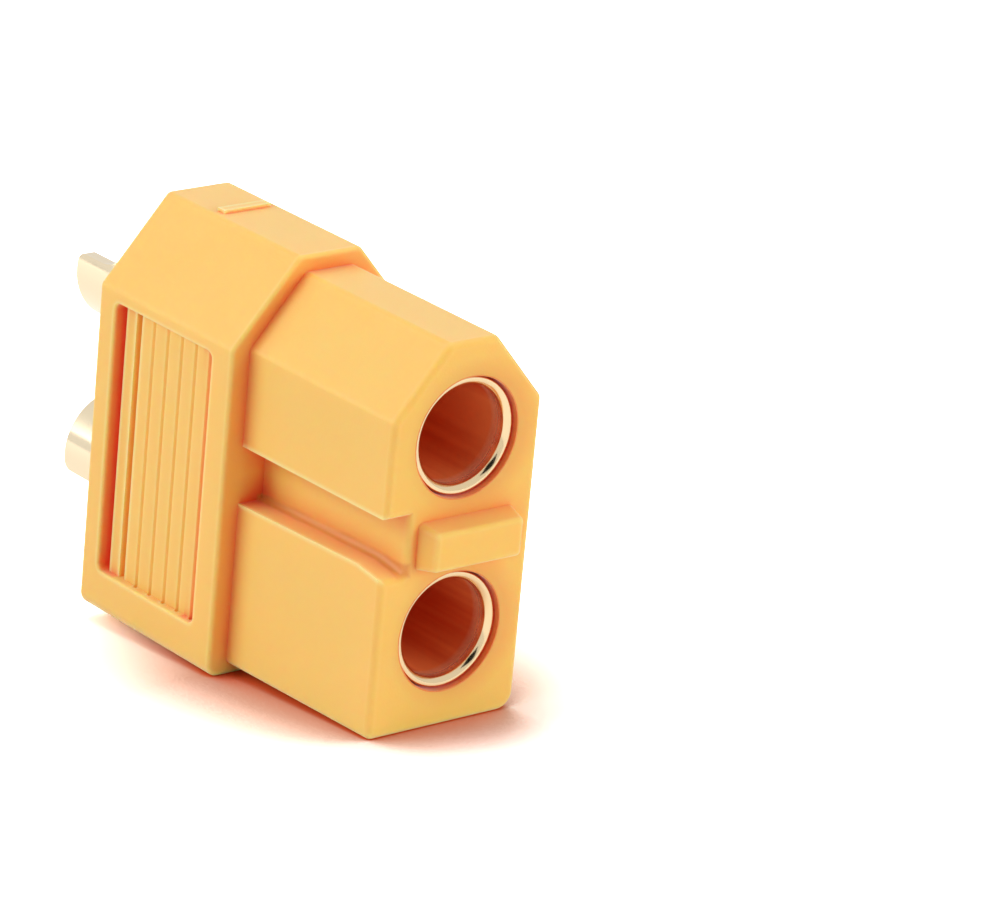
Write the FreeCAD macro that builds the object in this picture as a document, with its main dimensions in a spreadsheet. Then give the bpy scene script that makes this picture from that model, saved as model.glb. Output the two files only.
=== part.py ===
import FreeCAD, Part
import math
import os
import Sketcher

# Two-pole power connector plug: a moulded, keyed housing with two turned socket contacts.
# It stands on its flat end with +Z up. The nose points along -Y, the solder cups along +Y.
# Each body is drawn with y = 0 at the shoulder, where the nose meets the grip block.

doc = FreeCAD.newDocument("power_connector")
Vector = FreeCAD.Vector

# Driving dimensions in millimetres, angles in degrees
SIZES = {
    # grip block
    "grip_height": 15.5,
    "grip_width": 8.1,
    "grip_length": 7.9,
    "corner_across": 2.7,
    "corner_down": 3.1,
    "foot_round": 0.5,
    "corner_round": 0.3,
    "rim_round": 0.14,
    # nose block
    "nose_length": 8.2,
    "side_inset": 0.78,
    "end_inset": 0.6,
    "corner_inset": 0.62,
    "nose_foot_round": 0.65,
    "nose_keel_round": 0.3,
    "nose_sag": 0.2,
    "nose_corner_round": 0.3,
    "mouth_round": 0.25,
    # side groove
    "groove_width": 1.95,
    "groove_depth": 1.05,
    "groove_sag": 0.21,
    "groove_flare": 0.09,
    "groove_flare_length": 1.4,
    "groove_flare_drop": 0.22,
    "groove_root": 0.25,
    # key bar between the sockets
    "key_height": 1.75,
    "key_drop": 0.13,
    "key_land": 0.15,
    "key_margin": 0.92,
    "key_proud": 0.9,
    "key_draft": 11.0,
    "key_round": 0.18,
    # socket bores and contacts
    "socket_pitch": 7.2,
    "tube_width": 4.35,
    "tube_gap": 0.05,
    "tube_sink": 0.18,
    "bore_width": 3.6,
    "bore_depth": 7.6,
    "lip_bevel": 0.12,
    "collar_width": 4.8,
    "collar_gap": 0.03,
    "collar_seat": 2.4,
    "collar_length": 1.4,
    "collar_bevel": 0.3,
    # solder cups
    "cup_width": 4.3,
    "cup_bore": 3.4,
    "cup_depth": 4.6,
    "cup_reach": 4.05,
    "trough_level": 0.65,
    "trough_length": 1.35,
    "trough_sweep": 1.5,
    "tip_round": 0.3,
    # ribbed side panels
    "panel_front": 1.15,
    "panel_rear": 0.95,
    "panel_foot": 1.65,
    "panel_crest": 0.45,
    "panel_sink": 0.33,
    "panel_round": 0.3,
    "panel_edge": 0.09,
    "rib_start": 0.48,
    "rib_stop": 0.73,
    "rib_valley": 0.18,
    "rib_depth": 0.09,
    "rib_overrun": 0.1,
    "rib_clear": 0.1,
    "rib_count": 5,
    "trench_depth": 0.3,
    "trench_width": 0.33,
    "slot_width": 0.33,
    "strip_width": 0.59,
    # polarity marks
    "mark_length": 2.08,
    "mark_width": 0.42,
    "mark_height": 0.13,
    "mark_setback": 2.8,
}

sizes = doc.addObject("Spreadsheet::Sheet", "sizes")
for row, (alias, number) in enumerate(SIZES.items(), start=1):
    sizes.set(f"A{row}", alias)
    sizes.set(f"B{row}", str(number))
    sizes.setAlias(f"B{row}", alias)
doc.recompute()

# Places that follow from the driving dimensions
GRIP_SIDE = "sizes.grip_width / 2"
GRIP_TOP = "sizes.grip_height"
GRIP_CORNER_X = "(sizes.grip_width / 2 - sizes.corner_across)"
GRIP_CORNER_Z = "(sizes.grip_height - sizes.corner_down)"
NOSE_SIDE = "(sizes.grip_width / 2 - sizes.side_inset)"
NOSE_TOP = "(sizes.grip_height - sizes.end_inset)"
SLANT = "(sqrt(sizes.corner_across ^ 2 + sizes.corner_down ^ 2) * sizes.corner_inset)"
NOSE_CORNER_X = (
    GRIP_CORNER_X + " + (sizes.corner_across * sizes.end_inset - " + SLANT + ") / sizes.corner_down"
)
NOSE_CORNER_Z = (
    GRIP_CORNER_Z + " + (sizes.corner_down * sizes.side_inset - " + SLANT + ") / sizes.corner_across"
)
MIDDLE = "sizes.grip_height / 2"
GROOVE_LOW = "(" + MIDDLE + " - sizes.groove_width / 2)"
UPPER_AXIS = "(sizes.grip_height + sizes.socket_pitch) / 2"
LOWER_AXIS = "(sizes.grip_height - sizes.socket_pitch) / 2"
CUP_END = "(sizes.grip_length + sizes.cup_reach)"
ORIGIN_SHIFT = "(sizes.nose_length + sizes.key_proud - sizes.grip_length - sizes.cup_reach) / 2"
COLLAR_END = "(sizes.collar_seat + sizes.collar_length)"
TUBE_FACE = "(sizes.tube_sink - sizes.nose_length)"
TROUGH_ROOT = "(" + CUP_END + " - sizes.trough_length)"
PANEL_REAR = "(sizes.grip_length - sizes.panel_rear)"
PANEL_TOP = "(" + GRIP_CORNER_Z + " - sizes.panel_crest)"
SLOT_REAR = "(" + PANEL_REAR + " - sizes.trench_width - sizes.strip_width)"
FIRST_VALLEY = "(sizes.panel_front + sizes.rib_start)"
VALLEY_RUN = "(" + SLOT_REAR + " - sizes.slot_width - sizes.rib_stop - " + FIRST_VALLEY + ")"
# Cutting outlines run past the solid by this much
PAST = "1"


def value(expression):
    return float(sizes.evalExpression(expression))


def role(body, wanted):
    return next(part for part in body.Origin.OriginFeatures if part.Role == wanted)


def new_body(name, height="0"):
    """A sub-part whose origin lies under the middle of the whole plug."""
    body = doc.addObject("PartDesign::Body", name)
    body.Label = name
    body.setExpression("Placement.Base.y", ORIGIN_SHIFT)
    body.setExpression("Placement.Base.z", height)
    return body


def new_sketch(body, name, plane, offset="0"):
    """A sketch on one of the body's own planes, moved along the plane's normal."""
    sketch = body.newObject("Sketcher::SketchObject", name)
    sketch.AttachmentSupport = [(role(body, plane), "")]
    sketch.MapMode = "FlatFace"
    sketch.setExpression("AttachmentOffset.Base.z", offset)
    return sketch


def bind(sketch, kind, geometry, point, expression):
    """A distance from the sketch's origin to a point, bound to the sheet."""
    number = sketch.addConstraint(
        Sketcher.Constraint(kind, -1, 1, geometry, point, value(expression))
    )
    sketch.setExpression(f"Constraints[{number}]", expression)


def outline(sketch, corners, arcs=None):
    """A closed outline with every corner bound to the sheet. A side whose number is in arcs
    is an arc about the centre given there, and the others are straight."""
    points = [Vector(value(x), value(y), 0) for x, y in corners]
    first = sketch.GeometryCount
    ends = []
    for side, (start, end) in enumerate(zip(points, points[1:] + points[:1])):
        ends.append((1, 2))
        if side not in (arcs or {}):
            sketch.addGeometry(Part.LineSegment(start, end), False)
            continue
        x, y, radius = arcs[side]
        centre = Vector(value(x), value(y), 0)
        angles = [math.atan2(p.y - centre.y, p.x - centre.x) for p in (start, end)]
        if (angles[1] - angles[0]) % (2 * math.pi) > math.pi:
            angles.reverse()
            ends[-1] = (2, 1)
        ring = Part.Circle(centre, Vector(0, 0, 1), value(radius))
        sketch.addGeometry(Part.ArcOfCircle(ring, *angles), False)
        number = sketch.addConstraint(
            Sketcher.Constraint("Radius", first + side, value(radius))
        )
        sketch.setExpression(f"Constraints[{number}]", radius)
    for side, (x, y) in enumerate(corners):
        before = (side - 1) % len(corners)
        sketch.addConstraint(
            Sketcher.Constraint(
                "Coincident", first + before, ends[before][1], first + side, ends[side][0]
            )
        )
        bind(sketch, "DistanceX", first + side, ends[side][0], x)
        bind(sketch, "DistanceY", first + side, ends[side][0], y)


def rectangle(sketch, left, right, low, high):
    outline(sketch, [(left, low), (right, low), (right, high), (left, high)])


def circle(sketch, x, y, diameter):
    number = sketch.addGeometry(
        Part.Circle(Vector(value(x), value(y), 0), Vector(0, 0, 1), value(diameter) / 2), False
    )
    bind(sketch, "DistanceX", number, 3, x)
    bind(sketch, "DistanceY", number, 3, y)
    width = sketch.addConstraint(Sketcher.Constraint("Diameter", number, value(diameter)))
    sketch.setExpression(f"Constraints[{width}]", diameter)


def pad(body, name, sketch, length, reverse=False):
    feature = body.newObject("PartDesign::Pad", name)
    feature.Profile = sketch
    feature.Reversed = reverse
    feature.setExpression("Length", length)
    doc.recompute()
    return feature


def pocket(body, name, sketch, length, reverse=False):
    """A cut that has to take material away, so its volume is compared."""
    before = body.Shape.Volume
    feature = body.newObject("PartDesign::Pocket", name)
    feature.Profile = sketch
    feature.Reversed = reverse
    feature.setExpression("Length", length)
    doc.recompute()
    if not feature.Shape.Volume < before:
        raise RuntimeError(name + " cuts nothing")
    return feature


def edges_where(feature, test):
    return [f"Edge{n}" for n, edge in enumerate(feature.Shape.Edges, start=1) if test(edge)]


def fillet(body, name, radius, test):
    """Rounds every edge of the body so far that passes the test."""
    base = body.Tip
    feature = body.newObject("PartDesign::Fillet", name)
    feature.Base = (base, edges_where(base, test))
    feature.setExpression("Radius", radius)
    doc.recompute()
    return feature


def middle_of(edge):
    return edge.valueAt((edge.FirstParameter + edge.LastParameter) / 2)


def along_y(edge):
    """True for a straight edge that runs from the mouth towards the cups."""
    start, end = edge.Vertexes[0].Point, edge.Vertexes[-1].Point
    return abs(start.x - end.x) < 1e-6 and abs(start.z - end.z) < 1e-6 and len(edge.Vertexes) == 2


def in_plane(edge, y):
    """True for an edge that lies whole in the plane at this y."""
    box = edge.BoundBox
    return abs(box.YMin - y) < 1e-4 and abs(box.YMax - y) < 1e-4


def on_side(edge, x):
    """True for an edge that lies whole in the plane at this x."""
    box = edge.BoundBox
    return abs(box.XMin - x) < 1e-4 and abs(box.XMax - x) < 1e-4


# Housing, one moulding: the grip block first
housing = new_body("housing")
grip_sketch = new_sketch(housing, "grip_outline", "XZ_Plane")
outline(
    grip_sketch,
    [
        ("-" + GRIP_SIDE, "0"),
        (GRIP_SIDE, "0"),
        (GRIP_SIDE, GRIP_CORNER_Z),
        (GRIP_CORNER_X, GRIP_TOP),
        ("-" + GRIP_CORNER_X, GRIP_TOP),
        ("-" + GRIP_SIDE, GRIP_CORNER_Z),
    ],
)
pad(housing, "grip_block", grip_sketch, "sizes.grip_length", reverse=True)
fillet(housing, "grip_feet", "sizes.foot_round", lambda e: along_y(e) and middle_of(e).z < 0.01)
fillet(
    housing,
    "grip_corners",
    "sizes.corner_round",
    lambda e: along_y(e) and middle_of(e).z > value(GRIP_CORNER_Z) - 0.01,
)
fillet(
    housing,
    "grip_rims",
    "sizes.rim_round",
    lambda e: in_plane(e, 0) or in_plane(e, value("sizes.grip_length")),
)

# Nose block, an even step smaller than the grip on every side
nose_sketch = new_sketch(housing, "nose_outline", "XZ_Plane")
outline(
    nose_sketch,
    [
        ("-" + NOSE_SIDE, "sizes.end_inset"),
        (NOSE_SIDE, "sizes.end_inset"),
        (NOSE_SIDE, NOSE_CORNER_Z),
        (NOSE_CORNER_X, NOSE_TOP),
        ("-(" + NOSE_CORNER_X + ")", NOSE_TOP),
        ("-" + NOSE_SIDE, NOSE_CORNER_Z),
    ],
)
pad(housing, "nose_block", nose_sketch, "sizes.nose_length")
NOSE_FACE = value("-sizes.nose_length")

# Its flat side leans down towards the shoulder
wedge_sketch = new_sketch(housing, "wedge_outline", "YZ_Plane", "-" + NOSE_SIDE)
outline(
    wedge_sketch,
    [
        ("-sizes.nose_length", "sizes.end_inset"),
        ("0", "sizes.end_inset - sizes.nose_sag"),
        ("0", "sizes.end_inset"),
    ],
)
pad(housing, "nose_wedge", wedge_sketch, "2 * " + NOSE_SIDE)


def nose_edge(edge):
    return along_y(edge) and edge.BoundBox.YMax < 0.01 and edge.BoundBox.YMin < NOSE_FACE + 0.01


def nose_foot(edge, side):
    """True for the edge of the nose's flat side that lies on the given side of the middle."""
    box = edge.BoundBox
    low = box.ZMax < value("sizes.end_inset") + 0.01
    return on_side(edge, side * value(NOSE_SIDE)) and low and box.YMin < NOSE_FACE + 0.01


fillet(housing, "nose_feet", "sizes.nose_foot_round", lambda e: nose_foot(e, 1))
fillet(housing, "nose_keel", "sizes.nose_keel_round", lambda e: nose_foot(e, -1))
fillet(
    housing,
    "nose_corners",
    "sizes.nose_corner_round",
    lambda e: nose_edge(e) and middle_of(e).z > value(NOSE_CORNER_Z) - 0.01,
)

# Groove along the nose on the -X side. Its lower side falls towards the shoulder and again
# at the mouth.
groove_sketch = new_sketch(housing, "groove_outline", "YZ_Plane", "-" + NOSE_SIDE)
outline(
    groove_sketch,
    [
        ("0", GROOVE_LOW + " - sizes.groove_sag"),
        ("0", MIDDLE + " + sizes.groove_width / 2"),
        (
            "-(sizes.nose_length + " + PAST + ")",
            MIDDLE + " + sizes.groove_width / 2 + sizes.groove_flare",
        ),
        (
            "-(sizes.nose_length + " + PAST + ")",
            GROOVE_LOW + " - sizes.groove_flare_drop * (1 + " + PAST + " / sizes.groove_flare_length)",
        ),
        ("sizes.groove_flare_length - sizes.nose_length", GROOVE_LOW),
    ],
)
pocket(housing, "side_groove", groove_sketch, "sizes.groove_depth", reverse=True)
fillet(
    housing,
    "groove_root",
    "sizes.groove_root",
    lambda e: on_side(e, value("sizes.groove_depth - " + NOSE_SIDE))
    and e.BoundBox.ZMax < value(MIDDLE)
    and e.BoundBox.YMin < -0.01,
)
fillet(housing, "mouth_rim", "sizes.mouth_round", lambda e: in_plane(e, NOSE_FACE))

# Key bar across the nose face
key_sketch = new_sketch(housing, "key_outline", "XZ_Plane", "sizes.nose_length")
rectangle(
    key_sketch,
    "sizes.groove_depth - " + NOSE_SIDE + " + sizes.mouth_round + sizes.key_land",
    NOSE_SIDE + " - sizes.key_margin",
    MIDDLE + " - sizes.key_drop - sizes.key_height / 2",
    MIDDLE + " - sizes.key_drop + sizes.key_height / 2",
)
key_bar = pad(housing, "key_bar", key_sketch, "sizes.key_proud")
key_bar.setExpression("TaperAngle", "-sizes.key_draft")
doc.recompute()
fillet(
    housing,
    "key_edges",
    "sizes.key_round",
    lambda e: e.BoundBox.YMin < NOSE_FACE - 0.01,
)

# Socket bores from the mouth, wider behind the seats of the contact collars
for name, axis in (("upper", UPPER_AXIS), ("lower", LOWER_AXIS)):
    bore_sketch = new_sketch(housing, name + "_bore_outline", "XZ_Plane", "sizes.nose_length")
    circle(bore_sketch, "0", axis, "sizes.tube_width + 2 * sizes.tube_gap")
    pocket(housing, name + "_bore", bore_sketch, "sizes.nose_length + sizes.collar_seat")
    seat_sketch = new_sketch(housing, name + "_seat_outline", "XZ_Plane", "-sizes.grip_length")
    circle(seat_sketch, "0", axis, "sizes.collar_width + 2 * sizes.collar_gap")
    seat_depth = "sizes.grip_length - sizes.collar_seat"
    pocket(housing, name + "_seat", seat_sketch, seat_depth, reverse=True)

# Sunk side panels with fine V grooves between the ribs and two deeper cuts at the rear
for side, sign in (("left", "-"), ("right", "")):
    inward = side == "left"
    rim = sign + GRIP_SIDE
    floor = sign + "(" + GRIP_SIDE + " - sizes.panel_sink)"
    front_bend = "sizes.panel_front + sizes.panel_round"
    rear_bend = PANEL_REAR + " - sizes.panel_round"
    low_bend = "sizes.panel_foot + sizes.panel_round"
    high_bend = PANEL_TOP + " - sizes.panel_round"
    panel_sketch = new_sketch(housing, side + "_panel_outline", "YZ_Plane", rim)
    outline(
        panel_sketch,
        [
            (front_bend, "sizes.panel_foot"),
            (rear_bend, "sizes.panel_foot"),
            (PANEL_REAR, low_bend),
            (PANEL_REAR, high_bend),
            (rear_bend, PANEL_TOP),
            (front_bend, PANEL_TOP),
            ("sizes.panel_front", high_bend),
            ("sizes.panel_front", low_bend),
        ],
        {
            1: (rear_bend, low_bend, "sizes.panel_round"),
            3: (rear_bend, high_bend, "sizes.panel_round"),
            5: (front_bend, high_bend, "sizes.panel_round"),
            7: (front_bend, low_bend, "sizes.panel_round"),
        },
    )
    pocket(housing, side + "_panel", panel_sketch, "sizes.panel_sink", reverse=inward)
    trench_sketch = new_sketch(housing, side + "_trench_outline", "YZ_Plane", floor)
    outline(
        trench_sketch,
        [
            (PANEL_REAR + " - sizes.trench_width", "sizes.panel_foot"),
            (rear_bend, "sizes.panel_foot"),
            (PANEL_REAR, low_bend),
            (PANEL_REAR, high_bend),
            (rear_bend, PANEL_TOP),
            (PANEL_REAR + " - sizes.trench_width", PANEL_TOP),
        ],
        {
            1: (rear_bend, low_bend, "sizes.panel_round"),
            3: (rear_bend, high_bend, "sizes.panel_round"),
        },
    )
    rectangle(
        trench_sketch,
        SLOT_REAR + " - sizes.slot_width",
        SLOT_REAR,
        "sizes.panel_foot",
        PANEL_TOP,
    )
    pocket(housing, side + "_trenches", trench_sketch, "sizes.trench_depth", reverse=inward)
    fillet(
        housing,
        side + "_panel_rim",
        "sizes.panel_edge",
        lambda e: on_side(e, value(rim)) and e.BoundBox.YMin > value("sizes.panel_front") - 0.01
        and e.BoundBox.YMax < value(PANEL_REAR) + 0.01,
    )
    valley_sketch = new_sketch(housing, side + "_valley_outline", "XY_Plane", PANEL_TOP)
    above = sign + "(" + GRIP_SIDE + " - sizes.panel_sink + sizes.rib_clear)"
    below = sign + "(" + GRIP_SIDE + " - sizes.panel_sink - sizes.rib_depth)"
    outline(
        valley_sketch,
        [
            (above, FIRST_VALLEY + " - sizes.rib_valley / 2"),
            (above, FIRST_VALLEY + " + sizes.rib_valley / 2"),
            (floor, FIRST_VALLEY + " + sizes.rib_valley / 2"),
            (below, FIRST_VALLEY),
            (floor, FIRST_VALLEY + " - sizes.rib_valley / 2"),
        ],
    )
    valley_length = PANEL_TOP + " - sizes.panel_foot + sizes.rib_overrun"
    first_valley = pocket(housing, side + "_valley", valley_sketch, valley_length)
    row = housing.newObject("PartDesign::LinearPattern", side + "_valleys")
    row.Originals = [first_valley]
    row.Direction = (role(housing, "Y_Axis"), [""])
    row.setExpression("Length", VALLEY_RUN)
    row.setExpression("Occurrences", "sizes.rib_count")
    housing.Tip = row
    doc.recompute()

# Polarity marks: a raised bar on the chamfered end, a sunk cross on the flat end
MARK_Y = "(sizes.grip_length - sizes.mark_setback)"
LONG_ARM = "sizes.mark_length / 2"
SHORT_ARM = "sizes.mark_width / 2"
bar_sketch = new_sketch(housing, "bar_outline", "XY_Plane", GRIP_TOP)
rectangle(
    bar_sketch,
    "-" + LONG_ARM,
    LONG_ARM,
    MARK_Y + " - " + SHORT_ARM,
    MARK_Y + " + " + SHORT_ARM,
)
pad(housing, "raised_bar", bar_sketch, "sizes.mark_height")
cross_sketch = new_sketch(housing, "cross_outline", "XY_Plane")
outline(
    cross_sketch,
    [
        ("-" + LONG_ARM, MARK_Y + " - " + SHORT_ARM),
        ("-" + SHORT_ARM, MARK_Y + " - " + SHORT_ARM),
        ("-" + SHORT_ARM, MARK_Y + " - " + LONG_ARM),
        (SHORT_ARM, MARK_Y + " - " + LONG_ARM),
        (SHORT_ARM, MARK_Y + " - " + SHORT_ARM),
        (LONG_ARM, MARK_Y + " - " + SHORT_ARM),
        (LONG_ARM, MARK_Y + " + " + SHORT_ARM),
        (SHORT_ARM, MARK_Y + " + " + SHORT_ARM),
        (SHORT_ARM, MARK_Y + " + " + LONG_ARM),
        ("-" + SHORT_ARM, MARK_Y + " + " + LONG_ARM),
        ("-" + SHORT_ARM, MARK_Y + " + " + SHORT_ARM),
        ("-" + LONG_ARM, MARK_Y + " + " + SHORT_ARM),
    ],
)
pocket(housing, "sunk_cross", cross_sketch, "sizes.mark_height", reverse=True)


def new_contact(name, axis):
    """A turned contact: a socket tube, a seated collar and a solder cup cut open on top."""
    contact = new_body(name, axis)
    profile = new_sketch(contact, name + "_profile", "XY_Plane")
    outline(
        profile,
        [
            ("sizes.bore_width / 2", TUBE_FACE),
            ("sizes.tube_width / 2", TUBE_FACE),
            ("sizes.tube_width / 2", "sizes.collar_seat"),
            ("sizes.collar_width / 2", "sizes.collar_seat"),
            ("sizes.collar_width / 2", COLLAR_END + " - sizes.collar_bevel"),
            ("sizes.collar_width / 2 - sizes.collar_bevel", COLLAR_END),
            ("sizes.cup_width / 2", COLLAR_END),
            ("sizes.cup_width / 2", CUP_END),
            ("sizes.cup_bore / 2", CUP_END),
            ("sizes.cup_bore / 2", CUP_END + " - sizes.cup_depth"),
            ("0", CUP_END + " - sizes.cup_depth"),
            ("0", TUBE_FACE + " + sizes.bore_depth"),
            ("sizes.bore_width / 2", TUBE_FACE + " + sizes.bore_depth"),
        ],
    )
    turned = contact.newObject("PartDesign::Revolution", name + "_turned")
    turned.Profile = profile
    turned.ReferenceAxis = (role(contact, "Y_Axis"), [""])
    turned.Angle = 360
    doc.recompute()
    lip = contact.newObject("PartDesign::Chamfer", name + "_lip")
    lip.Base = (turned, edges_where(turned, lambda e: in_plane(e, value(TUBE_FACE))))
    lip.setExpression("Size", "sizes.lip_bevel")
    doc.recompute()
    trough = new_sketch(contact, name + "_trough_outline", "YZ_Plane", "-sizes.cup_width")
    root = TROUGH_ROOT + " - sizes.trough_sweep"
    sweep = "sizes.trough_level + sizes.trough_sweep"
    tip = CUP_END + " - sizes.tip_round"
    tip_level = "sizes.trough_level - sizes.tip_round"
    beyond = CUP_END + " + " + PAST
    above = "sizes.cup_width / 2 + sizes.trough_sweep"
    outline(
        trough,
        [
            (root, sweep),
            (TROUGH_ROOT, "sizes.trough_level"),
            (tip, "sizes.trough_level"),
            (CUP_END, tip_level),
            (beyond, tip_level),
            (beyond, above),
            (root, above),
        ],
        {
            0: (TROUGH_ROOT, sweep, "sizes.trough_sweep"),
            2: (tip, tip_level, "sizes.tip_round"),
        },
    )
    pocket(contact, name + "_trough", trough, "2 * sizes.cup_width", reverse=True)
    return contact


# The same contact twice. The lower one is turned over so that its cup opens downwards.
negative = new_contact("contact_negative", UPPER_AXIS)
positive = new_contact("contact_positive", LOWER_AXIS)
positive.Placement.Rotation = FreeCAD.Rotation(Vector(0, 1, 0), 180)
doc.recompute()

# Every object has to be sound before anything is written
pieces = [housing, negative, positive]
for thing in doc.Objects:
    if "Invalid" in thing.State or "Error" in thing.State:
        raise RuntimeError(thing.Name + " is " + ", ".join(thing.State))
for piece in pieces:
    if piece.Shape.isNull() or not piece.Shape.isValid() or len(piece.Shape.Solids) != 1:
        raise RuntimeError(piece.Label + " is not one sound solid")

os.makedirs("parts", exist_ok=True)
for piece in pieces:
    piece.Shape.exportStep("parts/" + piece.Label + ".step")
    print(piece.Label, round(piece.Shape.Volume, 3), piece.Shape.BoundBox)
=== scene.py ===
import math

import bmesh
import bpy
import numpy as np
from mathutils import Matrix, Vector


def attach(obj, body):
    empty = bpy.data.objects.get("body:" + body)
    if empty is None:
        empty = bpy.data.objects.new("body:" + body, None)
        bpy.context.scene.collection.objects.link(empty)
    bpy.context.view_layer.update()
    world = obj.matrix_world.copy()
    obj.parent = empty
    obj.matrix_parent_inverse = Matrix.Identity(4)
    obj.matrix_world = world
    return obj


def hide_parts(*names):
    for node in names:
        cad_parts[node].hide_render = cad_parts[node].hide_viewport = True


# Power connector plug: a yellow moulded housing with two gold-plated socket contacts.
# It stands on its flat end, nose towards -Y and solder cups towards +Y.

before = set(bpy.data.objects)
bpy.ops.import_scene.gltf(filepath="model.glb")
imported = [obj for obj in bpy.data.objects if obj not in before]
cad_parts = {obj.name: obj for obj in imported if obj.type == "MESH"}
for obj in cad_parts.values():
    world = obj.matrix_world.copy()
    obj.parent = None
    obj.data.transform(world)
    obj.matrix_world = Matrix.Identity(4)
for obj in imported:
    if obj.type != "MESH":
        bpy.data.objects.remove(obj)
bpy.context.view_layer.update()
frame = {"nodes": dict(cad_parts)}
scene = bpy.context.scene
mm = 0.001
print("frame loaded:", ", ".join(frame["nodes"]))


# Camera

shot = {
    "place": (-0.1205544, -0.1495842, 0.0798310),
    "turn": (69.4557, -5.1172, -39.1874),  # degrees, from a fit to the edges of the plug
    "lens": 206.79,
}

cameraData = bpy.data.cameras.new("bench camera")
cameraData.sensor_width = 36
cameraData.lens = shot["lens"]
cameraData.clip_start = 0.01
cameraData.clip_end = 20
camera = bpy.data.objects.new("bench camera", cameraData)
camera.location = shot["place"]
camera.rotation_euler = [math.radians(a) for a in shot["turn"]]
scene.collection.objects.link(camera)
scene.camera = camera
print("camera placed")


# Shader helpers: a node with its settings, a socket's value, a wire

def addNode(tree, kind, place=(0, 0), **settings):
    node = tree.nodes.new(kind)
    node.location = place
    for key, value in settings.items():
        setattr(node, key, value)
    return node


def setSockets(node, values):
    for name, value in values.items():
        node.inputs[name].default_value = value
    return node


def wire(tree, *pairs):
    for source, target in pairs:
        tree.links.new(source, target)


def newMaterial(name):
    material = bpy.data.materials.new(name)
    material.use_nodes = True
    material.node_tree.nodes.clear()
    return material, material.node_tree


def newGroup(name, inputs, outputs):
    group = bpy.data.node_groups.new(name, "ShaderNodeTree")
    for label, value in inputs.items():
        socket = group.interface.new_socket(label, in_out="INPUT", socket_type="NodeSocketFloat")
        socket.default_value = value
    for label in outputs:
        group.interface.new_socket(label, in_out="OUTPUT", socket_type="NodeSocketFloat")
    enter = addNode(group, "NodeGroupInput", (-1000, 0))
    leave = addNode(group, "NodeGroupOutput", (600, 0))
    return group, enter, leave


def ramp(tree, source, low, high, place=(0, 0), start=0.0, end=1.0):
    # The source running from start to end becomes a value running from low to high
    node = addNode(tree, "ShaderNodeMapRange", place)
    setSockets(node, {"From Min": start, "From Max": end, "To Min": low, "To Max": high})
    wire(tree, (source, node.inputs["Value"]))
    return node.outputs["Result"]


def blendColours(tree, mask, first, second, place=(0, 0)):
    # From the first colour at mask 0 to the second at 1; each is a colour or a socket
    node = addNode(tree, "ShaderNodeMix", place, data_type="RGBA")
    wire(tree, (mask, node.inputs["Factor"]))
    for socket, value in (("A", first), ("B", second)):
        if isinstance(value, tuple):
            node.inputs[socket].default_value = value
        else:
            wire(tree, (value, node.inputs[socket]))
    return node.outputs["Result"]


def reckon(tree, operation, first, second=0.0, place=(0, 0)):
    # One sum of two values, each a number or a socket
    node = addNode(tree, "ShaderNodeMath", place, operation=operation)
    for socket, value in zip(node.inputs, (first, second)):
        if isinstance(value, float):
            socket.default_value = value
        else:
            wire(tree, (value, socket))
    return node.outputs[0]


def seenDirectly(tree):
    # 1 for camera, glossy and transmission rays, 0 for the rays that only carry light
    rays = addNode(tree, "ShaderNodeLightPath", (-600, 0)).outputs
    seen = reckon(tree, "MAXIMUM", rays["Is Camera Ray"], rays["Is Glossy Ray"], (-400, 0))
    return reckon(tree, "MAXIMUM", seen, rays["Is Transmission Ray"], (-200, 0))


def positionOf(tree, place=(0, 0)):
    # The x, y and z of the shaded point, in metres
    coords = addNode(tree, "ShaderNodeTexCoord", (place[0] - 200, place[1]))
    split = addNode(tree, "ShaderNodeSeparateXYZ", place)
    wire(tree, (coords.outputs["Object"], split.inputs[0]))
    return split.outputs


def lengthOf(tree, first, second, place=(0, 0)):
    # Length of the flat vector with these two parts
    both = addNode(tree, "ShaderNodeCombineXYZ", place)
    length = addNode(tree, "ShaderNodeVectorMath", (place[0] + 200, place[1]), operation="LENGTH")
    wire(tree, (first, both.inputs[0]), (second, both.inputs[1]), (both.outputs[0], length.inputs[0]))
    return length.outputs["Value"]


# Paper sheet under the plug

paper = {
    "shoulderRest": (-1.425 * mm, 0.0),     # y and z where the shoulder's edge rests
    "noseRest": (-9.625 * mm, 0.6 * mm),    # the plug leans forward onto the nose's edge
    "halfSize": 2.0,
    "steps": 9,
    "lightShade": (0.86, 0.86, 0.86, 1),    # what the lamps' light meets
    "mirrorShade": (1.1, 1.08, 1.05, 1),    # what the polished metal mirrors
    "openShade": (2.6, 2.5, 2.45, 1),       # shown white in the open
    "paintedNearShadow": (0.78, 0.52, 0.43, 1),     # painted shadow, warm, beside the plug
    "paintedContactShadow": (0.75, 0.12, 0.04, 1),    # painted shadow, red-brown, right under its edges
    "nearSpan": (0.64, 1.0),                # openness over which each of the two painted shadows fades out
    "underSpan": (0.30, 0.62),
    "shadowReach": 8.0 * mm,
    "shadowY": (7.0 * mm, -1.0 * mm),       # the shadow is fainter at the rear
    "shadowShare": (0.12, 1.0),
}


def flatSheet(name, centre, across, up, steps):
    # Flat square grid: points run evenly along both half-side vectors from the centre
    run = np.linspace(-1, 1, steps)
    a, b = np.meshgrid(run, run, indexing="ij")
    points = np.array(centre) + a[..., None] * np.array(across) + b[..., None] * np.array(up)
    ids = np.arange(a.size).reshape(a.shape)
    quads = np.stack([ids[:-1, :-1], ids[1:, :-1], ids[1:, 1:], ids[:-1, 1:]], -1).reshape(-1, 4)
    mesh = bpy.data.meshes.new(name)
    mesh.from_pydata(points.reshape(-1, 3).tolist(), [], quads.tolist())
    sheet = bpy.data.objects.new(name, mesh)
    scene.collection.objects.link(sheet)
    return sheet


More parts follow.
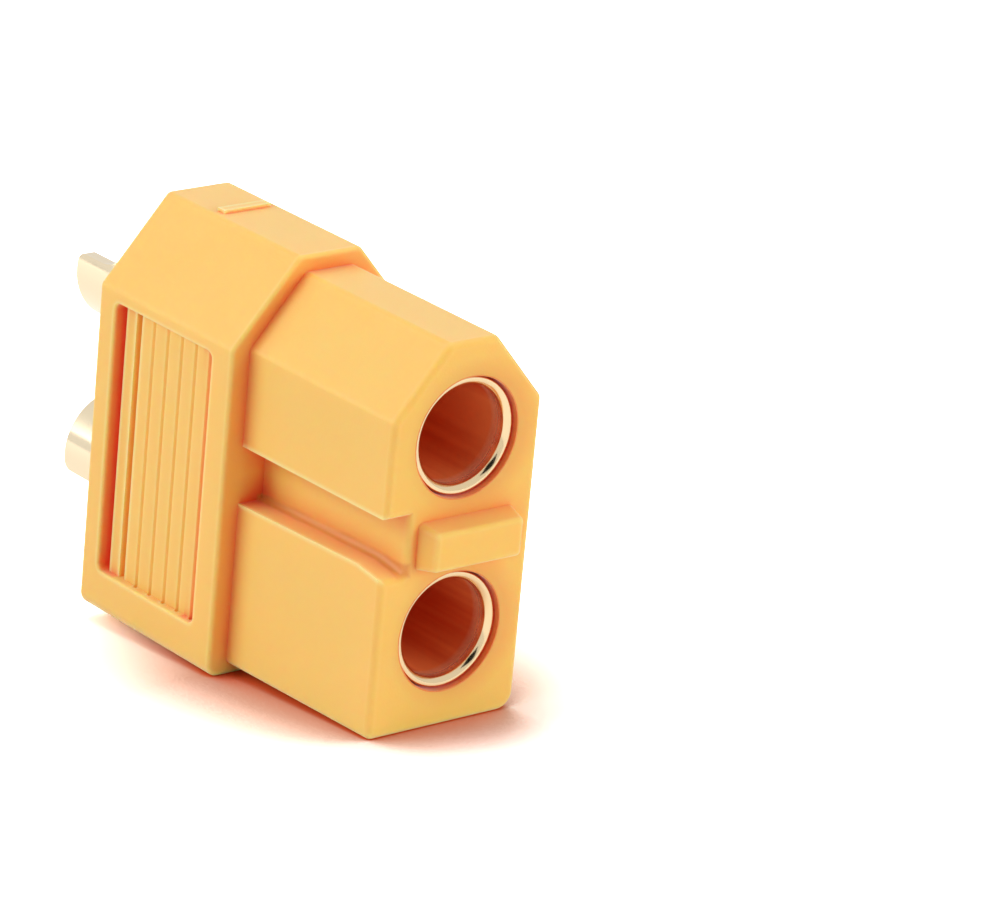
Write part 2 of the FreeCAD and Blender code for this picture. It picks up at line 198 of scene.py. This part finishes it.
# The sheet leans: z falls in a straight line through the two resting edges
slope = (paper["noseRest"][1] - paper["shoulderRest"][1]) / (
    paper["noseRest"][0] - paper["shoulderRest"][0])
paperSheet = flatSheet(
    "paper", (0, 0, -paper["shoulderRest"][0] * slope), (paper["halfSize"], 0, 0),
    (0, paper["halfSize"], paper["halfSize"] * slope), paper["steps"])

whitePaper, tree = newMaterial("white paper")
out = addNode(tree, "ShaderNodeOutputMaterial", (600, 0))
matte = addNode(tree, "ShaderNodeBsdfDiffuse", (400, 0))
# The floor's shown colour paints a contact shadow where the ambient occlusion finds the plug close, on top
# of the lamps' real shadow
cover = setSockets(addNode(tree, "ShaderNodeAmbientOcclusion", (-800, -300), samples=8),
                   {"Distance": paper["shadowReach"]}).outputs["AO"]
share = ramp(tree, positionOf(tree, (-1000, 0))["Y"], *paper["shadowShare"], (-800, 0), *paper["shadowY"])
near = ramp(tree, cover, 1, 0, (-600, -200), *paper["nearSpan"])
under = ramp(tree, cover, 1, 0, (-600, -500), *paper["underSpan"])
shown = blendColours(tree, reckon(tree, "MULTIPLY", share, near, (-400, 0)),
                     paper["openShade"], paper["paintedNearShadow"], (-400, -200))
shown = blendColours(tree, reckon(tree, "MULTIPLY", share, under, (-400, -500)),
                     shown, paper["paintedContactShadow"], (-200, -300))
rays = addNode(tree, "ShaderNodeLightPath", (-600, 300))
shown = blendColours(tree, rays.outputs["Is Camera Ray"], paper["mirrorShade"], shown, (0, -200))
shade = blendColours(tree, seenDirectly(tree), paper["lightShade"], shown, (200, 0))
wire(tree, (shade, matte.inputs["Color"]), (matte.outputs[0], out.inputs["Surface"]))
paperSheet.data.materials.append(whitePaper)


# Studio: a white room and three soft panels

daylight = {"strength": 0.35, "shown": 1.0}

world = bpy.data.worlds.new("white room")
world.use_nodes = True
tree = world.node_tree
tree.nodes.clear()
out = addNode(tree, "ShaderNodeOutputWorld", (600, 0))
room = addNode(tree, "ShaderNodeBackground", (400, 0))
wire(tree, (ramp(tree, seenDirectly(tree), daylight["strength"], daylight["shown"]),
            room.inputs["Strength"]), (room.outputs[0], out.inputs["Surface"]))
scene.world = world

# towards: direction of the panel, level: how bright a white face turned to it becomes
panels = {
    "left rear panel": {
        "towards": (-0.75, 0.45, 0.48), "size": 0.40, "level": 0.57, "mirrored": True},
    "top panel": {
        "towards": (0.10, 0.05, 1.0), "size": 0.5, "level": 0.46, "mirrored": False},
    "front right panel": {
        "towards": (0.45, -0.85, 0.25), "size": 0.32, "level": 0.55, "mirrored": False},
}
panelDistance = 0.6
middle = Vector((0, 0, 7.8 * mm))
for name, panel in panels.items():
    data = bpy.data.lights.new(name, "AREA")
    data.shape = "SQUARE"
    data.size = panel["size"]
    data.energy = panel["level"] * math.pi ** 2 * panelDistance ** 2
    away = Vector(panel["towards"]).normalized()
    light = bpy.data.objects.new(name, data)
    light.location = middle + away * panelDistance
    light.rotation_euler = away.to_track_quat("Z", "Y").to_euler()
    light.visible_camera = False
    light.visible_glossy = panel["mirrored"]
    scene.collection.objects.link(light)

# A dark card that only the polished rims mirror
card = {"towards": (-0.37, -0.68, 0.63), "distance": 0.35, "halfSize": 0.10, "steps": 3,
        "colour": (0.01, 0.01, 0.01, 1)}
away = Vector(card["towards"]).normalized()
across = away.cross(Vector((0, 0, 1))).normalized()
darkCard = flatSheet("dark card", middle + away * card["distance"], across * card["halfSize"],
                     across.cross(away) * card["halfSize"], card["steps"])
for kind in ("camera", "diffuse", "transmission", "shadow", "volume_scatter"):
    setattr(darkCard, "visible_" + kind, False)
blackPaper, tree = newMaterial("black paper")
out = addNode(tree, "ShaderNodeOutputMaterial", (300, 0))
matte = setSockets(addNode(tree, "ShaderNodeBsdfDiffuse"), {"Color": card["colour"]})
wire(tree, (matte.outputs[0], out.inputs["Surface"]))
darkCard.data.materials.append(blackPaper)

scene.view_settings.view_transform = "Standard"
print("paper, room and panels ready")


# Surface grain, for both finishes: fine noise of a given grain and slow patches, sizes in mm
grain, enter, leave = newGroup(
    "surface grain", {"Grain Size": 0.05, "Patch Size": 2.0, "Stretch": 1.0}, ("Grain", "Patches"))
coords = addNode(grain, "ShaderNodeTexCoord", (-1000, 300))
stretch = setSockets(addNode(grain, "ShaderNodeCombineXYZ", (-800, 100)), {"X": 1.0, "Z": 1.0})
stretched = addNode(grain, "ShaderNodeVectorMath", (-600, 200), operation="MULTIPLY")
wire(grain, (enter.outputs["Stretch"], stretch.inputs["Y"]),
     (coords.outputs["Object"], stretched.inputs[0]), (stretch.outputs[0], stretched.inputs[1]))
for size, label, detail, level in (("Grain Size", "Grain", 3, 200), ("Patch Size", "Patches", 4, -200)):
    perMetre = reckon(grain, "DIVIDE", 1000.0, enter.outputs[size], (-500, level - 150))
    noise = setSockets(addNode(grain, "ShaderNodeTexNoise", (-200, level)), {"Detail": detail})
    wire(grain, (perMetre, noise.inputs["Scale"]), (stretched.outputs[0], noise.inputs["Vector"]),
         (noise.outputs["Fac"], leave.inputs[label]))

# Edges and corners of the housing: how near a surface point is to an outer edge or a tight corner; the
# housing uses these masks for painted edge highlights and painted corner shade
relief, enter, leave = newGroup(
    "edges and corners", {"Edge Reach": 0.2 * mm, "Corner Reach": 1.0 * mm}, ("Edge", "Corner"))
# span: openness over which the mask fades out
for inside, reach, label, span, level in (
        (True, "Edge Reach", "Edge", (0.55, 0.95), 200),
        (False, "Corner Reach", "Corner", (0.32, 0.9), -200)):
    closeness = addNode(relief, "ShaderNodeAmbientOcclusion", (-400, level), inside=inside, samples=4)
    closeness.only_local = True
    wire(relief, (enter.outputs[reach], closeness.inputs["Distance"]),
         (ramp(relief, closeness.outputs["AO"], 1.0, 0.0, (0, level), *span), leave.inputs[label]))


# Housing: yellow nylon

moulding = {
    "colour": (0.98, 0.565, 0.108, 1),
    "patchColour": (0.97, 0.54, 0.095, 1),
    # Painted shade in corners, in rings round the sockets and along the groove root, and painted highlights
    # on the outer edges
    "paintedCornerShade": (0.93, 0.11, 0.02, 1),
    "paintedRingShade": (0.92, 0.33, 0.06, 1),
    "paintedEdgeHighlight": (1.0, 0.76, 0.30, 1),
    "paintedRootShade": (0.80, 0.30, 0.05, 1),
    "roughness": (0.42, 0.54),
    "sheen": 0.36,
    "sheenRoughness": 0.5,
    "ior": 1.5,
    "glow": 0.7,                     # share of the light that travels under the skin
    "glowReach": 1.1 * mm,
    "glowColour": (1.0, 0.25, 0.07),
    "grainSize": 0.09,               # mm, as the group takes it
    "patchSize": 2.6,
    "grainDepth": 0.006 * mm,
    "edgeReach": 0.2 * mm,
    "cornerReach": 1.1 * mm,
    "ribsY": (0.6 * mm, 4.65 * mm),  # the fine ribs on the side panels
    "ribsOut": 3.4 * mm,             # they lie further out than this
    "ribsShadeShare": 0.12,                # share of the painted corner shade that they keep
    # The groove root gets painted shade along this line
    "rootX": -2.27 * mm,             # where the groove's floor meets its lower side
    "rootY": (-8.225 * mm, -1.425 * mm),
    "rootZ": (6.80 * mm, 6.60 * mm),
    "rootEnd": -1.125 * mm,
    "rootRagged": 0.384 * mm,
    "rootSpan": (0.312 * mm, 0.456 * mm),
    "socketMiddle": 7.75 * mm,       # z halfway between the sockets
    "socketOffset": 3.6 * mm,
    "boreWall": 2.27 * mm,           # what lies nearer to a socket's axis is its bore's wall
    "frontFace": -9.4 * mm,
    "ringShift": 0.33 * mm,          # the rings of painted shade are shifted to the right
    "ringSpan": (2.25 * mm, 2.95 * mm),
    "ringShadeShare": 0.55,
    "edgeSpan": (2.95 * mm, 3.15 * mm),  # painted edge highlights start outside the rings
    "smoothAngle": 32,               # degrees
}

nylon, tree = newMaterial("yellow nylon")
out = addNode(tree, "ShaderNodeOutputMaterial", (900, 0))
skin = addNode(tree, "ShaderNodeBsdfPrincipled", (600, 0))
grains = setSockets(addNode(tree, "ShaderNodeGroup", (-700, 0), node_tree=grain),
                    {"Grain Size": moulding["grainSize"], "Patch Size": moulding["patchSize"]}).outputs
shapes = setSockets(addNode(tree, "ShaderNodeGroup", (-700, 300), node_tree=relief),
                    {"Edge Reach": moulding["edgeReach"], "Corner Reach": moulding["cornerReach"]}).outputs
x, y, z = positionOf(tree, (-1300, 600))

# Fine ribs: 1 on the ribbed part of the side panels
outside = reckon(tree, "GREATER_THAN", reckon(tree, "ABSOLUTE", x, place=(-1100, 900)),
                 moulding["ribsOut"], (-900, 900))
pastFront = reckon(tree, "GREATER_THAN", y, moulding["ribsY"][0], (-1100, 750))
beforeRear = reckon(tree, "LESS_THAN", y, moulding["ribsY"][1], (-1100, 600))
ribs = reckon(tree, "MULTIPLY", outside,
              reckon(tree, "MULTIPLY", pastFront, beforeRear, (-900, 700)), (-700, 800))

# Groove root: 1 on the rough line where the groove's floor meets its lower side, which gets painted shade
lineZ = ramp(tree, y, *moulding["rootZ"], (-1100, 400), *moulding["rootY"])
offX = reckon(tree, "ABSOLUTE", reckon(tree, "SUBTRACT", x, moulding["rootX"], (-1100, 250)),
              place=(-900, 250))
offZ = reckon(tree, "ABSOLUTE", reckon(tree, "SUBTRACT", z, lineZ, (-900, 400)), place=(-700, 400))
ragged = reckon(tree, "MULTIPLY", grains["Patches"], moulding["rootRagged"], (-500, 500))
off = reckon(tree, "ADD", reckon(tree, "MAXIMUM", offX, offZ, (-500, 350)), ragged, (-300, 400))
inGroove = reckon(tree, "LESS_THAN", y, moulding["rootEnd"], (-100, 550))
root = reckon(tree, "MULTIPLY", ramp(tree, off, 1, 0, (-100, 400), *moulding["rootSpan"]),
              inGroove, (50, 450))

# Rings of painted warm shade: strongest on the front face close to a socket, more on the right
fold = reckon(tree, "ABSOLUTE", reckon(tree, "SUBTRACT", z, moulding["socketMiddle"], (-1100, 100)),
              place=(-900, 100))
fold = reckon(tree, "SUBTRACT", fold, moulding["socketOffset"], (-700, 100))
shifted = reckon(tree, "SUBTRACT", x, moulding["ringShift"], (-700, -50))
fromRing = lengthOf(tree, shifted, fold, (-500, 50))
onFront = reckon(tree, "LESS_THAN", y, moulding["frontFace"], (-100, 200))
ring = reckon(tree, "MULTIPLY", onFront, ramp(
    tree, fromRing, moulding["ringShadeShare"], 0, (-100, 50), *moulding["ringSpan"]), (100, 100))

# Painted highlights on the outer edges, but not at the sockets
edge = reckon(tree, "MULTIPLY", shapes["Edge"],
              ramp(tree, fromRing, 0, 1, (-100, -100), *moulding["edgeSpan"]), (100, -50))

# Painted shade in corners and gaps: faint on the fine ribs, full on the walls of the socket bores
walls = reckon(tree, "LESS_THAN", lengthOf(tree, x, fold, (-500, -200)), moulding["boreWall"], (-100, -200))
corner = reckon(tree, "MULTIPLY", shapes["Corner"],
                ramp(tree, ribs, 1.0, moulding["ribsShadeShare"], (-500, 800)), (-300, 800))
corner = reckon(tree, "MAXIMUM", corner, walls, (-100, 800))

tint = blendColours(tree, grains["Patches"], moulding["colour"], moulding["patchColour"], (-400, 200))
# Over the nylon's own colour: painted shade in corners, rings and the groove root, then painted edge
# highlights
for mask, label, column in (
        (corner, "paintedCornerShade", -200), (ring, "paintedRingShade", -100),
        (root, "paintedRootShade", 0), (edge, "paintedEdgeHighlight", 100)):
    tint = blendColours(tree, mask, tint, moulding[label], (column, 250))
bump = setSockets(addNode(tree, "ShaderNodeBump", (300, -300)), {"Distance": moulding["grainDepth"]})
wire(tree, (tint, skin.inputs["Base Color"]),
     (ramp(tree, grains["Patches"], *moulding["roughness"], (0, -50)), skin.inputs["Roughness"]),
     (grains["Grain"], bump.inputs["Height"]), (bump.outputs[0], skin.inputs["Normal"]),
     (skin.outputs[0], out.inputs["Surface"]))
setSockets(skin, {
    "Subsurface Weight": moulding["glow"], "Subsurface Scale": moulding["glowReach"],
    "Subsurface Radius": moulding["glowColour"], "IOR": moulding["ior"],
    "Sheen Weight": moulding["sheen"], "Sheen Roughness": moulding["sheenRoughness"],
})


def smoothUpTo(shape, degrees):
    # Every face smooth, every edge that turns further than this sharp
    for edge in shape.edges:
        edge.smooth = edge.calc_face_angle(3.0) < math.radians(degrees)
    for face in shape.faces:
        face.smooth = True


def mergedCopy(node, name):
    # The CAD solid's skin with its doubles merged and its flat faces whole again
    mesh = frame["nodes"][node].data.copy()
    mesh.name = name
    mesh.materials.clear()
    shape = bmesh.new()
    shape.from_mesh(mesh)
    bmesh.ops.remove_doubles(shape, verts=shape.verts, dist=1e-6)
    bmesh.ops.dissolve_limit(
        shape, angle_limit=math.radians(0.5), verts=shape.verts, edges=shape.edges)
    smoothUpTo(shape, moulding["smoothAngle"])
    shape.to_mesh(mesh)
    shape.free()
    copy = bpy.data.objects.new(name, mesh)
    scene.collection.objects.link(copy)
    return copy


housing = mergedCopy("housing", "mouldedHousing")
housing.data.materials.append(nylon)
weigh = housing.modifiers.new("weigh normals", "WEIGHTED_NORMAL")
weigh.keep_sharp = True
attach(housing, "root")
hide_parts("housing")
print("housing dressed:", len(housing.data.vertices), "points")


# Contacts: turned, gold plated

contact = {
    "tubeFace": -9.445 * mm, "boreEnd": -1.845 * mm,
    "seatFrom": 0.975 * mm, "collarEnd": 2.375 * mm, "collarBevel": 0.3 * mm,
    "cupFloor": 5.925 * mm, "cupEnd": 10.525 * mm,
    "boreRadius": 1.84 * mm, "tubeRadius": 2.15 * mm,
    "mouthBevel": 0.165 * mm, "mouthSwell": 30,      # degrees that the bevel turns through
    "rimRound": 0.06 * mm,
    "collarRadius": 2.4 * mm, "cupRadius": 2.15 * mm, "cupBore": 1.7 * mm,
    "troughRoot": 9.175 * mm, "troughLevel": 0.65 * mm, "troughSweep": 1.5 * mm,
    "tipRound": 0.3 * mm,
    "axes": {"contact_negative": (11.35 * mm, 1), "contact_positive": (4.15 * mm, -1)},
    "segments": 128,
    "smoothAngle": 35,           # degrees
    "boreFade": 0.15 * mm,       # length over which the bore's painted shade starts
    "colour": (0.97, 0.82, 0.58, 1),
    "rimColour": (0.90, 0.70, 0.42, 1),
    # The bore's dark red-orange is painted shade for light that dies deep in the bore; the streaks in it
    # are random
    "paintedBoreShade": (1.0, 0.30, 0.09, 1),
    "paintedBoreStreak": (0.76, 0.12, 0.03, 1),
    "boreMetal": 0.22,           # dull: deep in the bore the plate mirrors little but itself
    "roughness": (0.10, 0.20),
    "boreRoughness": 0.45,
    "grainSize": 0.07,           # mm, as the group takes it
    "patchSize": 1.5,
    "stretch": 0.04,             # the grain is drawn out along the contact
    "streakSpan": (0.40, 0.60),
    "grainShare": 0.3,
    "grainDepth": 0.0015 * mm,
}


def gridFaces(rows, columns, start, closed):
    # Quads between neighbouring rows and columns of points; closed joins the last column to the first
    ids = np.arange(rows * columns).reshape(rows, columns) + start
    if closed:
        ids = np.concatenate([ids, ids[:, :1]], 1)
    return np.stack([ids[:-1, :-1], ids[1:, :-1], ids[1:, 1:], ids[:-1, 1:]], -1).reshape(-1, 4)


def turned(profile, columns):
    # Each profile point (y, radius) goes once round the Y axis: x = radius cos a, z = radius sin a
    angle = np.linspace(0, 2 * np.pi, columns, endpoint=False)
    y, radius = profile[:, :1], profile[:, 1:]
    x = radius * np.cos(angle)
    z = radius * np.sin(angle)
    return np.stack([x, np.broadcast_to(y, x.shape), z], -1)


def lipArc(centreY, centreR, size, fromDeg, toDeg, steps=7):
    # Arc in the profile: y = centre + size cos a, radius = centre + size sin a
    a = np.radians(np.linspace(fromDeg, toDeg, steps))
    return np.stack([centreY + size * np.cos(a), centreR + size * np.sin(a)], -1)


def frontProfile(c):
    # From the middle of the bore's floor out over the lip and along the tube to the collar
    mouth, rim = c["mouthBevel"], c["rimRound"]
    # The mouth's bevel swells a little: an arc about 45 degrees between its two edges
    half = math.radians(c["mouthSwell"] / 2)
    swell = mouth / math.sqrt(2) / math.sin(half)
    back = swell * math.cos(half) / math.sqrt(2) + mouth / 2
    return np.concatenate([
        [[c["boreEnd"], 0.0], [c["boreEnd"], c["boreRadius"] * 0.5], [c["boreEnd"], c["boreRadius"]]],
        np.stack([np.linspace(c["boreEnd"], c["tubeFace"] + mouth, 12)[1:-1],
                  np.full(10, c["boreRadius"])], -1),
        lipArc(c["tubeFace"] + back, c["boreRadius"] + back, swell,
               225 + c["mouthSwell"] / 2, 225 - c["mouthSwell"] / 2),
        lipArc(c["tubeFace"] + rim, c["tubeRadius"] - rim, rim, 180, 90),
        [[c["seatFrom"], c["tubeRadius"]], [c["seatFrom"], c["collarRadius"]],
         [c["collarEnd"] - c["collarBevel"], c["collarRadius"]],
         [c["collarEnd"], c["collarRadius"] - c["collarBevel"]],
         [c["collarEnd"], c["cupRadius"]]],
    ])


def cupRows(c):
    # Height of the cup's cut at each y: the full round, a quarter circle down to the trough,
    # the trough itself and a small quarter circle down at its tip
    root, sweep, level, radius = c["troughRoot"], c["troughSweep"], c["troughLevel"], c["tipRound"]
    fall = root - sweep * np.cos(np.radians(np.linspace(0, 90, 17)))
    fallLevel = level + sweep - np.sqrt(np.maximum(sweep ** 2 - (fall - root) ** 2, 0))
    meet = root - np.sqrt(sweep ** 2 - (level + sweep - c["cupBore"]) ** 2)
    tip = c["cupEnd"] - radius
    end = tip + radius * np.sin(np.radians(np.linspace(0, 90, 7)))
    endLevel = level - radius + np.sqrt(np.maximum(radius ** 2 - (end - tip) ** 2, 0))
    rowY = np.concatenate([[c["cupFloor"]], fall, [meet], end])
    rowLevel = np.concatenate([[c["cupRadius"]], fallLevel, [c["cupBore"]], endLevel])
    order = np.argsort(rowY, kind="stable")
    return rowY[order], rowLevel[order]


def cupWall(radius, rowY, rowLevel, segments):
    # The wall's arc at each row starts where the wall meets the cut and runs round the bottom:
    # x = radius cos a, z = radius sin a, from a = arcsin(height / radius) to its mirror image
    start = np.arcsin(np.clip(rowLevel / radius, -1, 1))[:, None]
    angle = start + (-np.pi - 2 * start) * np.linspace(0, 1, segments + 1)[None, :]
    return np.stack([radius * np.cos(angle), np.broadcast_to(rowY[:, None], angle.shape),
                     radius * np.sin(angle)], -1)


def makeContact(name, node):
    c = contact
    axisZ, up = c["axes"][node]
    rowY, rowLevel = cupRows(c)
    outer = cupWall(c["cupRadius"], rowY, rowLevel, c["segments"])
    inner = cupWall(c["cupBore"], rowY, rowLevel, c["segments"])
    neck = np.array([[c["collarEnd"], c["cupRadius"]], [c["cupFloor"], c["cupRadius"]]])
    grids = [(turned(frontProfile(c), c["segments"]), True), (turned(neck, c["segments"]), True),
             (outer, False), (inner, False)]
    across = np.linspace(0, 1, 5)
    # The cut faces, one each side: straight across from the outer wall to the bore, or to the middle
    for side, sign in ((0, 1), (-1, -1)):
        bore = np.sqrt(np.maximum(c["cupBore"] ** 2 - rowLevel ** 2, 0)) * sign
        innerEdge = np.stack([bore, rowY, rowLevel], -1)
        t = across[None, :, None]
        grids.append(((outer[:, side][:, None] * (1 - t) + innerEdge[:, None] * t)[1:], False))
    # The end ring, and the cup's floor out from its middle
    t = across[:, None, None]
    grids.append((outer[-1][None] * (1 - t) + inner[-1][None] * t, False))
    grids.append((inner[0][None] * t, False))

    starts = np.cumsum([0] + [grid.shape[0] * grid.shape[1] for grid, _ in grids])
    faces = [gridFaces(grid.shape[0], grid.shape[1], start, closed)
             for (grid, closed), start in zip(grids, starts)]
    points = np.concatenate([grid.reshape(-1, 3) for grid, _ in grids])
    points[:, 2] = points[:, 2] * up + axisZ
    points[:, 0] *= up
    mesh = bpy.data.meshes.new(name)
    mesh.from_pydata(points.tolist(), [], np.concatenate(faces).tolist())
    shape = bmesh.new()
    shape.from_mesh(mesh)
    bmesh.ops.remove_doubles(shape, verts=shape.verts, dist=1e-6)
    bmesh.ops.dissolve_degenerate(shape, dist=1e-8, edges=shape.edges)
    bmesh.ops.recalc_face_normals(shape, faces=shape.faces)
    smoothUpTo(shape, c["smoothAngle"])
    openEdges = sum(1 for edge in shape.edges if not edge.is_manifold)
    shape.to_mesh(mesh)
    shape.free()

    # bore: 1 inside the socket bore, 0 elsewhere, with a short change at the lip
    place = np.empty(len(mesh.vertices) * 3)
    mesh.vertices.foreach_get("co", place)
    place = place.reshape(-1, 3)
    radius = np.hypot(place[:, 0], place[:, 2] - axisZ)
    inBore = (radius < c["boreRadius"] * 1.002) & (place[:, 1] < c["boreEnd"] * 0.999)
    depth = np.clip((place[:, 1] - c["tubeFace"] - c["mouthBevel"]) / c["boreFade"], 0, 1)
    mask = mesh.attributes.new("bore", "FLOAT", "POINT")
    mask.data.foreach_set("value", np.where(inBore, depth, 0.0))
    # rim: 1 on the bevelled mouth
    onRim = place[:, 1] < c["tubeFace"] + c["mouthBevel"] * 1.05
    mask = mesh.attributes.new("rim", "FLOAT", "POINT")
    mask.data.foreach_set("value", np.where(onRim, 1.0, 0.0))
    piece = bpy.data.objects.new(name, mesh)
    scene.collection.objects.link(piece)
    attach(piece, "root")
    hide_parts(node)
    print(name, "made:", len(mesh.polygons), "faces,", openEdges, "open edges")
    return piece


gilt, tree = newMaterial("gold plate")
out = addNode(tree, "ShaderNodeOutputMaterial", (900, 0))
plate = addNode(tree, "ShaderNodeBsdfPrincipled", (600, 0))
grains = setSockets(addNode(tree, "ShaderNodeGroup", (-700, 0), node_tree=grain), {
    "Grain Size": contact["grainSize"], "Patch Size": contact["patchSize"],
    "Stretch": contact["stretch"]}).outputs
inBore = addNode(tree, "ShaderNodeAttribute", (-700, 300), attribute_name="bore").outputs["Fac"]
onRim = addNode(tree, "ShaderNodeAttribute", (-400, 100), attribute_name="rim").outputs["Fac"]
# Painted shade in the bore, streaked at random
streaks = ramp(tree, grains["Patches"], 0, 1, (-400, 400), *contact["streakSpan"])
boreShadeTint = blendColours(tree, streaks, contact["paintedBoreShade"], contact["paintedBoreStreak"], (-200, 400))
plain = blendColours(tree, onRim, contact["colour"], contact["rimColour"], (-200, 200))
rough = addNode(tree, "ShaderNodeMix", (200, -50), data_type="FLOAT")
rough.inputs["B"].default_value = contact["boreRoughness"]
bump = setSockets(addNode(tree, "ShaderNodeBump", (300, -300)),
                  {"Strength": contact["grainShare"], "Distance": contact["grainDepth"]})
wire(tree, (inBore, rough.inputs["Factor"]),
     (ramp(tree, grains["Patches"], *contact["roughness"], (0, -50)), rough.inputs["A"]),
     (rough.outputs["Result"], plate.inputs["Roughness"]),
     (blendColours(tree, inBore, plain, boreShadeTint, (0, 200)), plate.inputs["Base Color"]),
     (ramp(tree, inBore, 1.0, contact["boreMetal"], (300, 100)), plate.inputs["Metallic"]),
     (grains["Grain"], bump.inputs["Height"]), (bump.outputs[0], plate.inputs["Normal"]),
     (plate.outputs[0], out.inputs["Surface"]))

for label, node in (("negativeContact", "contact_negative"), ("positiveContact", "contact_positive")):
    piece = makeContact(label, node)
    piece.data.materials.append(gilt)
